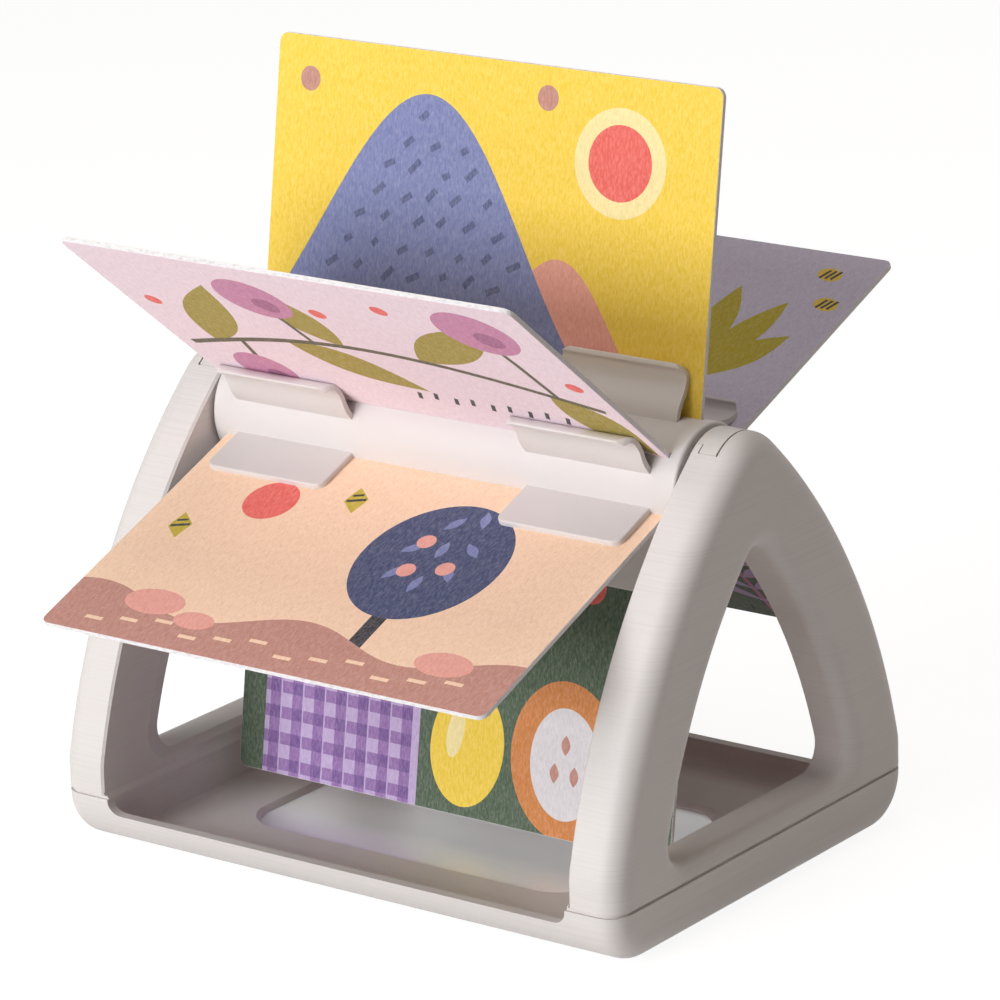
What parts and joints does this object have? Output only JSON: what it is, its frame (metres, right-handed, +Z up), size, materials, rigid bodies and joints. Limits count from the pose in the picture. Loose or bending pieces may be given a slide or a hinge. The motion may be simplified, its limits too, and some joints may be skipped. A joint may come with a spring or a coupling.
{
  "type": "rotating baby book",
  "caption": "Tabletop baby book whose stiff picture cards turn like a wheel on a clip drum between two A-shaped side frames, over a tray with a mirror in its floor.",
  "frame": {"origin": "on the table, under the middle of the stand", "axes": "+X along the drum's axis to the reader's right, -Y towards the reader, +Z up"},
  "size_m": [0.2294, 0.237, 0.2636],
  "materials": {
    "shell_plastic": "warm off-white, fine satin grain",
    "drum_plastic": "warm off-white, smooth satin",
    "mirror_sheet": "silvered plastic sheet",
    "screw_steel": "zinc plated",
    "card_yellow": "printed felt-look sheet on white board",
    "card_pink": "printed felt-look sheet on white board",
    "card_peach": "printed felt-look sheet on white board",
    "card_green": "printed felt-look sheet on white board",
    "card_blue": "printed felt-look sheet on white board",
    "card_lilac": "printed felt-look sheet on white board"
  },
  "bodies": {
    "stand": {"side_frame_right": "shell_plastic", "side_frame_left": "shell_plastic", "axle_cap_right": "shell_plastic", "axle_cap_left": "shell_plastic", "base_tray": "shell_plastic", "bottom_cover": "shell_plastic", "mirror_panel": "mirror_sheet", "frame_screws": "screw_steel", "cover_screws": "screw_steel"},
    "page_wheel": {"drum": "drum_plastic", "drum_end_right": "drum_plastic", "drum_end_left": "drum_plastic", "page_card_1": "card_yellow", "page_card_2": "card_pink", "page_card_3": "card_peach", "page_card_4": "card_green", "page_card_5": "card_blue", "page_card_6": "card_lilac"}
  },
  "joints": [
    {"name": "drum_spin", "type": "hinge", "parent": "stand", "child": "page_wheel", "pos_m": [0, 0, 0.1384], "axis": [1, 0, 0], "continuous": true}
  ]
}
